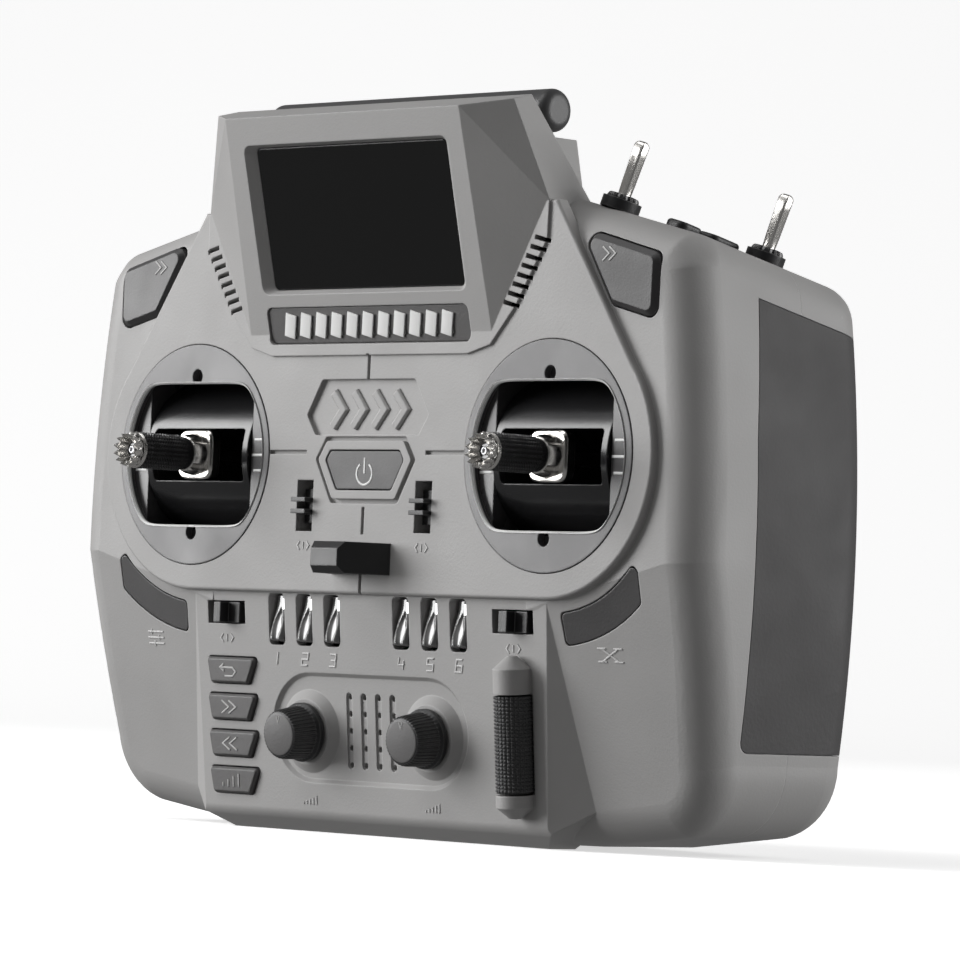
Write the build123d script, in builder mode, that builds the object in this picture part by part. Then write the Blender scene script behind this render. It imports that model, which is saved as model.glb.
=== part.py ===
from build123d import *
import os
from math import cos, radians, sin

# A two-stick radio transmitter for models, held upright, the pilot looking along +Y.
# +Z is up, +X is the pilot's right. The origin is the middle of the flat underside.
# Heights in this file are measured from the line through both stick centres, and
# depths run back from the raised face plate.

# ---- driving dimensions, millimetres ----
FACE_Y = -17.95          # the raised face plate's place along Y
AXIS_Z = 84.0            # height of the stick centres above the underside
STICK_X = 56.3           # each stick centre from the middle
BODY_FRONT = 1.8         # depth of the casing's front behind the raised plate
BODY_BACK = 57.5
BODY_ROUND = 9.0
PARTING = 35.5           # depth where the front and rear shells meet
WALL = 2.5
CORNER_WALL = 4.2        # wall of the body, thicker so that its square hollow clears the rounding
GAP = 0.3                # clearance around every key

RING_R = 25.0            # gimbal cover plate
WINDOW_R = 22.8
WINDOW_FLAT = 16.2
DRUM_R = 18.0
DRUM_HALF = 17.0
DRUM_DEPTH = 18.5        # depth of both tilt axes
AXLE_R = 2.4
RUNNING = 0.05           # radial clearance of a running fit

PLATE_R = 30.7
PANEL_TOP = -31.0
PANEL_BOTTOM = -80.5
PANEL_HALF = 55.0

SCREEN_W = 60.3
SCREEN_H = 32.0
KNOB_X = 19.6
KNOB_Z = -61.7
ROLLER_X = 47.0
ROLLER_R = 4.2
ANTENNA_R = 4.75
ANTENNA_HALF = 44.5
PAD_T = 1.2

SIDES = {"left": -1, "right": 1}
os.makedirs("parts", exist_ok=True)


# ---- planes and points ----
def at(x, depth, height):
    """A point of the controller from its side, depth and height."""
    return Vector(x, FACE_Y + depth, AXIS_Z + height)


def front(depth=0.0):
    """Sketch plane parallel to the face, drawn as the pilot sees it."""
    return Plane(origin=at(0, depth, 0), x_dir=(1, 0, 0), z_dir=(0, -1, 0))


def sloped(upper, lower, inset=0.0):
    """Sketch plane through two (depth, height) points, facing the pilot."""
    top = at(0, *upper)
    rise = (top - at(0, *lower)).normalized()
    return Plane(origin=top, x_dir=(1, 0, 0), z_dir=(0, -rise.Z, rise.Y)).offset(-inset)


def facet(corners, inset=0.0):
    """Plane through three corners whose normal points out of the controller."""
    first, second, third = (at(*corner) for corner in corners)
    normal = (second - first).cross(third - first).normalized()
    if normal.dot(at(0, 30, 0) - first) > 0:
        normal = normal * -1
    return Plane(origin=first, z_dir=normal).offset(-inset)


def trim(*corners, inset=0.0):
    """Cut the part in hand back to a facet and to its mirror image."""
    other = [(-x, depth, height) for x, depth, height in corners]
    split(bisect_by=facet(corners, inset), keep=Keep.BOTTOM)
    split(bisect_by=facet(other, inset), keep=Keep.BOTTOM)


SHOULDER = ((53, 4, 57.4), (85.5, 4, 49.6), (90, 48, 39.7))
SIDE_FRONT = ((57, BODY_FRONT, PANEL_TOP), (57, 13.5, -84), (95, 4, PANEL_TOP))
PANEL = sloped((BODY_FRONT, PANEL_TOP), (6.6, PANEL_BOTTOM))
SCREEN_TOP = (-12.4, 74.6)
SCREEN = sloped(SCREEN_TOP, (-1.3, 29.7))
SCREEN_MIDDLE = -23.2


def rim(faces):
    """Edges that belong to only one of the faces: the outline of a bent front."""
    edges = [edge for face in faces for edge in face.outer_wire().edges()]

    def shared(edge):
        return sum((other.center() - edge.center()).length < 1e-4 for other in edges) > 1

    return [edge for edge in edges if not shared(edge)]


# ---- casing forms, from which both shells are cut ----
def body_form(inset=0.0):
    """The hand-held body, rounded all over, or its square hollow when pulled in by inset."""
    with BuildPart() as form:
        with BuildSketch(front(BODY_FRONT + inset)):
            with BuildLine():
                under = Polyline((0, inset - 84), (58, inset - 83), (84 - 0.3 * inset, inset - 79.7))
                bend = ThreePointArc(under @ 1, (92.5 - 0.7 * inset, 0.7 * inset - 74.5), (96.3 - inset, -64))
                flank = ThreePointArc(bend @ 1, (99 - inset, -18), (93.5 - inset, 44))
                Polyline(flank @ 1, (92 - inset, 62), (0, 62))
                mirror(about=Plane.YZ)
            make_face()
        extrude(amount=-(BODY_BACK - BODY_FRONT - 2 * inset))
        trim(*SHOULDER, inset=1.3 * inset)
        trim(*SIDE_FRONT, inset=inset)
        if not inset:
            back = form.faces().sort_by(Axis.Y)[-1:]
            fronts = form.faces().filter_by(lambda face: face.normal_at(face.center()).Y < -0.9)
            corners = form.edges().filter_by(
                lambda edge: edge.center().Z > AXIS_Z + 36 and abs(edge.center().X) > 85
                and edge.length > 20 and abs((edge % 0.5).Y) > 0.8
            )
            fillet(rim(back) + rim(fronts) + list(corners), BODY_ROUND)
    return form.part


def panel_form(inset=0.0):
    """The lower centre block that carries the small keys, leaning back downwards."""
    with BuildPart() as form:
        with BuildSketch(front(inset)):
            with BuildLine():
                Polyline((-78, PANEL_TOP - inset), (78, PANEL_TOP - inset), (78, inset - 84),
                         (-78, inset - 84), close=True)
            make_face()
        extrude(amount=-20)
        edge_low = (PANEL_HALF, 6.9, PANEL_BOTTOM)
        trim((0, BODY_FRONT, PANEL_TOP), (9, BODY_FRONT, PANEL_TOP), (0, 6.6, PANEL_BOTTOM), inset=inset)
        trim((PANEL_HALF + 1, BODY_FRONT, PANEL_TOP), edge_low, (64.5, 13.2, PANEL_BOTTOM), inset=inset)
        trim((0, 6.6, PANEL_BOTTOM), (9, 6.6, PANEL_BOTTOM), (0, 12, -84), inset=inset)
        trim((50, 8, -84), (PANEL_HALF + 3, 8, -79), (50, 20, -84), inset=inset)
    return form.part


def housing_form(inset=0.0):
    """The display housing: a slab of hexagonal front, cut by its leaning facets."""
    outline = [(31.2, 22.1), (38, 24), (45.3, 32.3), (54, 46.5), (54.2, 54.6), (46, 80)]
    with BuildPart() as form:
        with BuildSketch(front(-16)):
            with BuildLine():
                Polyline((0, 22.1), *outline, (0, 80))
                mirror(about=Plane.YZ)
            make_face()
            if inset:
                offset(amount=-inset, kind=Kind.INTERSECTION)
        extrude(amount=-50)
        trim((37.2, -12.4, 74.6), (-37.2, -12.4, 74.6), (38.3, -1.3, 29.7), inset=inset)
        trim((37.2, -12.4, 74.6), (38.3, -1.3, 29.7), (54.2, -0.3, 54.6), inset=inset)
        trim((37.2, -12.4, 74.6), (46.5, -6, 76), (54.2, -0.3, 54.6), inset=inset)
        trim((0, -12.4, 74.6), (9, -12.4, 74.6), (0, -2.7, 77.1), inset=inset)
        trim((0, 1.4, 75.8), (9, 1.4, 75.8), (0, 10.9, 58.2), inset=inset)
    return form.part


def vent_strip():
    """The low flat margin beside each facet, where the vents are."""
    with BuildPart() as form:
        with BuildSketch(front(-0.6)):
            with BuildLine():
                Polyline((0, 22.1), (31.2, 22.1), (38, 24), (45.3, 32.3), (54, 46.5),
                         (54.2, 54.6), (0, 54.6))
                mirror(about=Plane.YZ)
            make_face()
        extrude(amount=-5)
    return form.part


def neck_form(inset=0.0):
    """The block behind the display housing that the antenna bar folds onto."""
    with BuildPart() as form:
        with BuildSketch(front(2)):
            with BuildLine():
                Polyline((0, 30), (46, 30), (44.2 - inset, 58), (41.5 - inset, 70 - inset), (0, 70 - inset))
                mirror(about=Plane.YZ)
            make_face()
        extrude(amount=-(18 - inset))
    return form.part


def face_plate():
    """The raised plate round both sticks: arcs about each stick, straight flanks above."""
    flank = radians(40)
    top = (STICK_X + PLATE_R * cos(flank), PLATE_R * sin(flank))
    with BuildPart() as plate:
        with BuildSketch(front(0)):
            with BuildLine():
                Polyline((0, 55), (56, 55), top)
                CenterArc((STICK_X, 0), PLATE_R, 40, -130)
                Line((STICK_X, -PLATE_R), (0, -PLATE_R))
                mirror(about=Plane.YZ)
            make_face()
        extrude(amount=-3)
        fillet(rim(plate.faces().sort_by(Axis.Y)[:1]), 0.7)
    return plate.part


def arc_key(grow):
    """Outline of a curved menu key under the right stick, in a face sketch."""
    with BuildSketch(front(0)) as outline:
        with BuildLine():
            inner, outer = 33.6 - grow, 40.3 + grow
            spread = grow / inner * 57.3
            start, sweep = -43 + spread, -(41 + 2 * spread)
            low = CenterArc((STICK_X, 0), inner, start, sweep)
            high = CenterArc((STICK_X, 0), outer, start, sweep)
            Line(low @ 0, high @ 0)
            Line(low @ 1, high @ 1)
        make_face()
        split(bisect_by=Plane(origin=(82.3 + grow, 0, 0), z_dir=(1, 0, 0)), keep=Keep.BOTTOM)
        fillet(outline.vertices(), 1.2)
    return outline.sketch_local


def corner_key(grow):
    """Outline of the four-sided corner button beside the right flank."""
    with BuildSketch(front(0)) as outline:
        with BuildLine():
            Polyline((61.6, 49.0), (85.4, 42.8), (85.2, 28.9), (72.1, 32.2), close=True)
        make_face()
        if grow:
            offset(amount=grow, kind=Kind.INTERSECTION)
        fillet(outline.vertices(), 2.6)
    return outline.sketch_local


def menu_key(top, grow):
    """Outline of a left-hand menu key on the lower panel, its right end cut slanting."""
    high = top - PANEL_TOP + grow
    low = top - 5.8 - PANEL_TOP - grow
    with BuildSketch(PANEL) as outline:
        with BuildLine():
            Polyline((-52 - grow, high), (-35.6 + grow, high), (-38.4 + grow, low),
                     (-50.9 - grow, low), close=True)
        make_face()
        fillet(outline.vertices(), 0.9)
    return outline.sketch_local


MENU_KEYS = {"return_key": -45.8, "page_next_key": -54.1, "page_back_key": -62.4, "telemetry_key": -70.7}
FUNCTION_X = [-29, -20, -11, 11, 20, 29]
FUNCTION_W, FUNCTION_H, FUNCTION_Z = 4.6, 11.0, -36.8
TRIM_SLOTS = {
    "trim_t4": (-45.7, -35.6, 12.4, 5.2), "trim_t3": (-18.9, -11.3, 5.2, 11.4),
    "trim_t2": (18.9, -11.3, 5.2, 11.4), "trim_t1": (45.7, -35.6, 12.4, 5.2),
}
POWER = [(12.2, 3.1), (14.8, -1), (10, -9.7)]
BADGE = [(14.8, 16.8), (19.4, 8.9), (16.4, 4.4)]


def half_outline(points, grow=0.0):
    """Closed symmetric outline from its right-hand corners, top to bottom."""
    with BuildSketch(front(0)) as outline:
        with BuildLine():
            Polyline((0, points[0][1]), *points, (0, points[-1][1]))
            mirror(about=Plane.YZ)
        make_face()
        if grow:
            offset(amount=grow, kind=Kind.INTERSECTION)
        fillet(outline.vertices().filter_by(lambda corner: abs(corner.X) > 1), 1.0)
    return outline.sketch_local


def on_panel(x, height, depth=0.0):
    """Plane of the lower panel, centred on a place given by side and height."""
    spot = PANEL.offset(-depth)
    spot.origin = spot.from_local_coords(Vector(x, height - PANEL_TOP, 0))
    return spot


def pad_region(grow=0.0):
    """Side view of the grip pads, swept across the whole controller."""
    with BuildPart() as region:
        with BuildSketch(Plane(origin=at(-120, 0, 0), x_dir=(0, 1, 0), z_dir=(1, 0, 0))) as side:
            with BuildLine():
                Polyline((22.3, 34.6), (20.4, 5), (20.2, -61.3), (70, -61.3), (70, 24.6), close=True)
            make_face()
            fillet(side.vertices().sort_by(Axis.Y)[:3], 2.5)
            if grow:
                offset(amount=grow)
        extrude(amount=240)
    return region.part


SCREWS = [(86.5, 20, 8), (85, -52, 14), (62, -70, 17)]      # side, height, depth the front post reaches

print("casing forms")
OUTER = body_form()
INNER = body_form(CORNER_WALL)
HOUSING, HOUSING_INNER = housing_form(), housing_form(WALL)
LOWER, LOWER_INNER = panel_form(), panel_form(WALL)
NECK, NECK_INNER = neck_form(), neck_form(WALL)

def pad_skin(side):
    """What a small move inwards and forwards leaves of the body's flank and rounded back."""
    with BuildPart() as skin:
        add(OUTER)
        add(OUTER.moved(Location((-side * PAD_T, -PAD_T, 0))), mode=Mode.SUBTRACT)
        split(bisect_by=Plane(origin=(side * 86, 0, 0), z_dir=(side, 0, 0)), keep=Keep.TOP)
    return skin.part


with BuildPart() as pad_skins:
    for side in SIDES.values():
        add(pad_skin(side))

with BuildPart() as pad_pocket:
    add(pad_skins.part)
    add(pad_region(0.15), mode=Mode.INTERSECT)

# ---- front shell ----
print("front shell")
roller_middle = on_panel(ROLLER_X, -60.3, -1.9)
roller_bed = Plane(origin=on_panel(ROLLER_X, -72.6, -1.9).origin, x_dir=(1, 0, 0), z_dir=PANEL.y_dir)
with BuildPart() as fairing:
    with BuildSketch(roller_middle):
        with BuildLine():
            Polyline((0, 17.7), (1.2, 17.5), (ROLLER_R, 14.8), (ROLLER_R, -15.0), (1.4, -17.4),
                     (0, -17.6), close=True)
        make_face()
    revolve(axis=Axis(roller_middle.origin, PANEL.y_dir))

with BuildPart() as front_form:
    add(OUTER)
    # the body's own front gives way to the flat lower panel
    with BuildSketch(on_panel(0, PANEL_TOP - 27)):
        Rectangle(100, 54)
    extrude(amount=8, mode=Mode.SUBTRACT)
    add(LOWER)
    add(HOUSING)
    add(vent_strip())
    add(NECK)
    add(face_plate())
    lower_front = front_form.edges().filter_by(
        lambda edge: edge.length > 60 and abs(edge.center().Z - AXIS_Z - PANEL_BOTTOM) < 0.5
    )
    fillet(lower_front, 3)
    split(bisect_by=front(PARTING), keep=Keep.TOP)
    for hollow in (INNER, HOUSING_INNER, LOWER_INNER, NECK_INNER):
        add(hollow, mode=Mode.SUBTRACT)
    add(pad_pocket.part, mode=Mode.SUBTRACT)
    # openings for the gimbals, keys and trims
    with BuildSketch(front(-2)):
        with Locations((STICK_X, 0), (-STICK_X, 0)):
            Circle(RING_R + 0.2)
    extrude(amount=-12, mode=Mode.SUBTRACT)
    with BuildSketch(front(-2)):
        for x, z, width, height in list(TRIM_SLOTS.values())[1:3]:
            with Locations((x, z)):
                Rectangle(width, height)
        add(half_outline(POWER, -1.9))
        for grown in (arc_key(GAP), corner_key(GAP)):
            add(grown)
            add(mirror(grown, about=Plane.YZ, mode=Mode.PRIVATE))
    extrude(amount=-14, mode=Mode.SUBTRACT)
    with BuildSketch(front(-1)):
        add(half_outline(BADGE))
        add(half_outline(POWER, 1.0))
    extrude(amount=-1.9, mode=Mode.SUBTRACT)
    with BuildSketch(front(0.9)):
        add(half_outline(POWER))
        add(half_outline(POWER, -1.9), mode=Mode.SUBTRACT)
    extrude(amount=1.2)
    with BuildSketch(PANEL.offset(3)):
        for x in FUNCTION_X:
            with Locations((x, FUNCTION_Z - PANEL_TOP)):
                RectangleRounded(FUNCTION_W + 2 * GAP, FUNCTION_H + 2 * GAP, 1.2)
        for x, z, width, height in (TRIM_SLOTS["trim_t4"], TRIM_SLOTS["trim_t1"]):
            with Locations((x, z - PANEL_TOP)):
                Rectangle(width, height)
        for top in MENU_KEYS.values():
            add(menu_key(top, GAP))
    extrude(amount=-14, mode=Mode.SUBTRACT)
    # sunk stadium round the knobs, with a cone rising to each
    with BuildSketch(on_panel(0, -60.8)):
        SlotOverall(62.4, 24.7)
    with BuildSketch(on_panel(0, -60.8, 0.8)):
        SlotOverall(60.6, 22.9)
    loft(mode=Mode.SUBTRACT)
    with BuildSketch(on_panel(0, KNOB_Z, 1.0)):
        with Locations((KNOB_X, 0), (-KNOB_X, 0)):
            Circle(9.6)
    extrude(amount=1.9, taper=50)
    with BuildSketch(on_panel(0, KNOB_Z, -3)):
        with Locations((KNOB_X, 0), (-KNOB_X, 0)):
            Circle(3.1)
    extrude(amount=-14, mode=Mode.SUBTRACT)
    with BuildSketch(on_panel(0, -61.2, 0.5)):
        with GridLocations(4.6, 1, 4, 1):
            SlotOverall(17, 1.8, rotation=90)
    extrude(amount=-0.7, mode=Mode.SUBTRACT)
    with BuildSketch(on_panel(0, -61.2, -1)):
        with GridLocations(4.6, 3.8, 4, 5):
            Circle(0.65)
    extrude(amount=-9, mode=Mode.SUBTRACT)
    # fairings above and below the scroll roller
    add(fairing.part)
    with BuildSketch(roller_bed):
        Circle(ROLLER_R + GAP)
    extrude(amount=21.7, mode=Mode.SUBTRACT)
    with BuildSketch(roller_bed.offset(-2.5)):
        Circle(1.2 + RUNNING)
    extrude(amount=26.7, mode=Mode.SUBTRACT)
    # display window and name plate bed
    with BuildSketch(SCREEN):
        with Locations((0, SCREEN_MIDDLE)):
            RectangleRounded(65, 33.8, 2)
    with BuildSketch(SCREEN.offset(-1.9)):
        with Locations((0, SCREEN_MIDDLE - 0.1)):
            RectangleRounded(SCREEN_W + 0.3, SCREEN_H + 0.3, 1.2)
    loft(mode=Mode.SUBTRACT)
    with BuildSketch(SCREEN.offset(-1.8)):
        with Locations((0, SCREEN_MIDDLE - 0.1)):
            RectangleRounded(SCREEN_W + 0.3, SCREEN_H + 0.3, 1.2)
    extrude(amount=-4, mode=Mode.SUBTRACT)
    with BuildSketch(SCREEN.offset(1)):
        with Locations((0, -47.2)):
            RectangleRounded(64.2, 8.4, 1.6)
    extrude(amount=-2.2, mode=Mode.SUBTRACT)
    # vents across the margins of the display housing
    for side in SIDES.values():
        with BuildSketch(front(-3)):
            for step in range(8):
                with Locations((side * (43.9 + 1.24 * step), 32.6 + 1.98 * step)):
                    Rectangle(4.4, 1.0, rotation=side * -14)
        extrude(amount=-9, mode=Mode.SUBTRACT)
    # centre grooves of the face plate
    with BuildSketch(front(-1)):
        with Locations((0, 19.4), (0, -14.5), (0, -28.2)):
            Rectangle(0.9, 6)
        with Locations((25, 0.6), (-25, 0.6)):
            Rectangle(12, 0.9)
    extrude(amount=-1.8, mode=Mode.SUBTRACT)
    # screw posts that meet the rear shell's
    for x, z, reach in SCREWS:
        with BuildSketch(front(PARTING)):
            with Locations((x, z), (-x, z)):
                Circle(3.6)
        extrude(amount=PARTING - reach)
        with BuildSketch(front(PARTING)):
            with Locations((x, z), (-x, z)):
                Circle(1.5)
        extrude(amount=12, mode=Mode.SUBTRACT)

normal = facet(SHOULDER).z_dir
SHOULDER_ITEMS = {"toggle_inner": (61.2, 13.7), "toggle_outer": (80.5, 39.0)}
SHOULDER_BUTTONS = {"shoulder_button_front": (74.0, 20.2, 7.2), "shoulder_button_rear": (74.7, 30.4, 9.6)}


def on_shoulder(x, depth, side, lift=0.0):
    """Plane on a shoulder, its x along the controller's width."""
    drop = (normal.X * (x - SHOULDER[0][0]) + normal.Y * (depth - SHOULDER[0][1])) / normal.Z
    up = Vector(side * normal.X, normal.Y, normal.Z)
    along = Vector(0, 1, 0).cross(up).normalized()
    base = Plane(origin=at(side * x, depth, SHOULDER[0][2] - drop), x_dir=along, z_dir=up)
    return base.offset(lift)


with BuildPart() as shoulder_holes:
    for side in SIDES.values():
        for x, depth in SHOULDER_ITEMS.values():
            with BuildSketch(on_shoulder(x, depth, side, 2)):
                Circle(3.5)
            extrude(amount=-10)
        for x, depth, length in SHOULDER_BUTTONS.values():
            with BuildSketch(on_shoulder(x, depth, side, 2)):
                RectangleRounded(6 + 2 * GAP, length + 2 * GAP, 2.2)
            extrude(amount=-10)

with BuildPart() as front_shell:
    add(front_form.part)
    add(shoulder_holes.part, mode=Mode.SUBTRACT)
front_shell.part.label = "front_shell"
export_step(front_shell.part, "parts/front_shell.step")

# ---- rear shell ----
print("rear shell")
DOOR_W, DOOR_H, DOOR_Z, DOOR_T = 74.0, 44.0, -46.0, 2.0
BAY_W, BAY_H, BAY_Z = 62.0, 42.0, 17.0
with BuildPart() as rear_shell:
    add(OUTER)
    split(bisect_by=front(PARTING), keep=Keep.BOTTOM)
    add(INNER, mode=Mode.SUBTRACT)
    add(pad_pocket.part, mode=Mode.SUBTRACT)
    for x, z, reach in SCREWS:
        with BuildSketch(front(PARTING)):
            with Locations((x, z), (-x, z)):
                Circle(3.6)
        extrude(amount=-(BODY_BACK - PARTING - WALL))
    with BuildSketch(front(BODY_BACK + 1)):
        for x, z, reach in SCREWS:
            with Locations((x, z), (-x, z)):
                Circle(2.9)
    extrude(amount=6, mode=Mode.SUBTRACT)
    with BuildSketch(front(BODY_BACK + 1)):
        for x, z, reach in SCREWS:
            with Locations((x, z), (-x, z)):
                Circle(1.5)
    extrude(amount=30, mode=Mode.SUBTRACT)
    # battery opening with a ledge for its door, and the module bay
    with BuildSketch(front(BODY_BACK + 1)):
        with Locations((0, DOOR_Z)):
            RectangleRounded(DOOR_W + 2 * GAP, DOOR_H + 2 * GAP, 3)
        with Locations((0, BAY_Z)):
            RectangleRounded(BAY_W + 2 * GAP, BAY_H + 2 * GAP, 3)
    extrude(amount=1 + DOOR_T + GAP, mode=Mode.SUBTRACT)
    with BuildSketch(front(BODY_BACK + 1)):
        with Locations((0, DOOR_Z)):
            RectangleRounded(DOOR_W - 8, DOOR_H - 6, 2)
        with Locations((0, BAY_Z)):
            RectangleRounded(BAY_W - 8, BAY_H - 8, 2)
    extrude(amount=8, mode=Mode.SUBTRACT)
    add(shoulder_holes.part, mode=Mode.SUBTRACT)
rear_shell.part.label = "rear_shell"
export_step(rear_shell.part, "parts/rear_shell.step")

# ---- grip pads ----
for name, side in SIDES.items():
    with BuildPart() as grip_pad:
        add(pad_skins.part)
        add(pad_region(), mode=Mode.INTERSECT)
        split(bisect_by=Plane(origin=(0, 0, 0), z_dir=(side, 0, 0)), keep=Keep.TOP)
    grip_pad.part.label = f"grip_pad_{name}"
    export_step(grip_pad.part, f"parts/grip_pad_{name}.step")

# ---- battery door, battery, module bay cover, main board ----
HINGE_R = DOOR_T / 2
with BuildPart() as battery_door:
    with BuildSketch(front(BODY_BACK)):
        with Locations((0, DOOR_Z)):
            RectangleRounded(DOOR_W, DOOR_H, 2.7)
    extrude(amount=DOOR_T)
    low_edges = battery_door.edges().filter_by(Axis.X).group_by(Axis.Z)[0]
    fillet(low_edges, HINGE_R - 0.02)
    with BuildSketch(front(BODY_BACK)):
        with Locations((0, DOOR_Z + DOOR_H / 2 - 5)):
            with GridLocations(6, 1, 4, 1):
                SlotOverall(4.4, 1.4, rotation=90)
    extrude(amount=0.7, mode=Mode.SUBTRACT)
battery_door.part.label = "battery_door"
export_step(battery_door.part, "parts/battery_door.step")

with BuildPart() as module_cover:
    with BuildSketch(front(BODY_BACK)):
        with Locations((0, BAY_Z)):
            RectangleRounded(BAY_W, BAY_H, 2.7)
    extrude(amount=DOOR_T)
    with BuildSketch(front(BODY_BACK)):
        with Locations((0, BAY_Z)):
            with GridLocations(7, 1, 7, 1):
                SlotOverall(26, 2, rotation=90)
    extrude(amount=0.7, mode=Mode.SUBTRACT)
    with BuildSketch(front(BODY_BACK - DOOR_T)):
        with Locations((0, BAY_Z)):
            RectangleRounded(BAY_W - 9, BAY_H - 9, 1.5)
    extrude(amount=2.5)
module_cover.part.label = "module_cover"
export_step(module_cover.part, "parts/module_cover.step")

CELL_R, CELL_L = 9.2, 65.0
with BuildPart() as battery_pack:
    for z in (-33, -53):
        with BuildSketch(Plane(origin=at(-CELL_L / 2, 40, z), x_dir=(0, 1, 0), z_dir=(1, 0, 0))):
            Circle(CELL_R)
        extrude(amount=CELL_L)
    with BuildSketch(front(40)):
        with Locations((0, -43)):
            Rectangle(58, 10)
    extrude(amount=4, both=True)
battery_pack.part.label = "battery_pack"
export_step(battery_pack.part, "parts/battery_pack.step")

with BuildPart() as main_board:
    with BuildSketch(front(24.6)):
        with Locations((0, -14)):
            Rectangle(64, 116)
    extrude(amount=1.6)
    with BuildSketch(front(24.6)):
        with Locations((0, 8), (-14, -20), (16, -22)):
            Rectangle(14, 14)
    extrude(amount=-2)
    with BuildSketch(front(24.6)):
        with Locations((26, 30), (-26, 30), (-26, -60), (26, -60)):
            Circle(1.6)
    extrude(amount=5, both=True, mode=Mode.SUBTRACT)
main_board.part.label = "main_board"
export_step(main_board.part, "parts/main_board.step")

with BuildPart() as case_screws:
    for x, z, reach in SCREWS:
        with BuildSketch(front(BODY_BACK - 3)):
            with Locations((x, z), (-x, z)):
                Circle(2.6)
        extrude(amount=2)
        with BuildSketch(front(BODY_BACK - 3)):
            with Locations((x, z), (-x, z)):
                RegularPolygon(1.25, 6)
        extrude(amount=1.3, mode=Mode.SUBTRACT)
        with BuildSketch(front(BODY_BACK - 5)):
            with Locations((x, z), (-x, z)):
                Circle(1.45)
        extrude(amount=24)
case_screws.part.label = "case_screws"
export_step(case_screws.part, "parts/case_screws.step")

# ---- display ----
with BuildPart() as display_lens:
    with BuildSketch(SCREEN.offset(-1.9)):
        with Locations((0, SCREEN_MIDDLE - 0.1)):
            RectangleRounded(SCREEN_W, SCREEN_H, 1.2)
    extrude(amount=-1.2)
display_lens.part.label = "display_lens"
export_step(display_lens.part, "parts/display_lens.step")

with BuildPart() as display_module:
    with BuildSketch(SCREEN.offset(-3.1)):
        with Locations((0, SCREEN_MIDDLE - 0.1)):
            Rectangle(SCREEN_W - 1, SCREEN_H - 1)
    extrude(amount=-3)
display_module.part.label = "display_module"
export_step(display_module.part, "parts/display_module.step")

with BuildPart() as name_plate:
    with BuildSketch(SCREEN.offset(-1.2)):
        with Locations((0, -47.2)):
            RectangleRounded(63.8, 8.0, 1.4)
    extrude(amount=0.8)
    with BuildSketch(SCREEN.offset(-0.4)):
        with Locations((0, -47.2)):
            for step in range(-5, 6):
                with Locations((step * 5.0, 0)):
                    Rectangle(3.2, 4.6)
    extrude(amount=0.3)
name_plate.part.label = "name_plate"
export_step(name_plate.part, "parts/name_plate.step")

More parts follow.
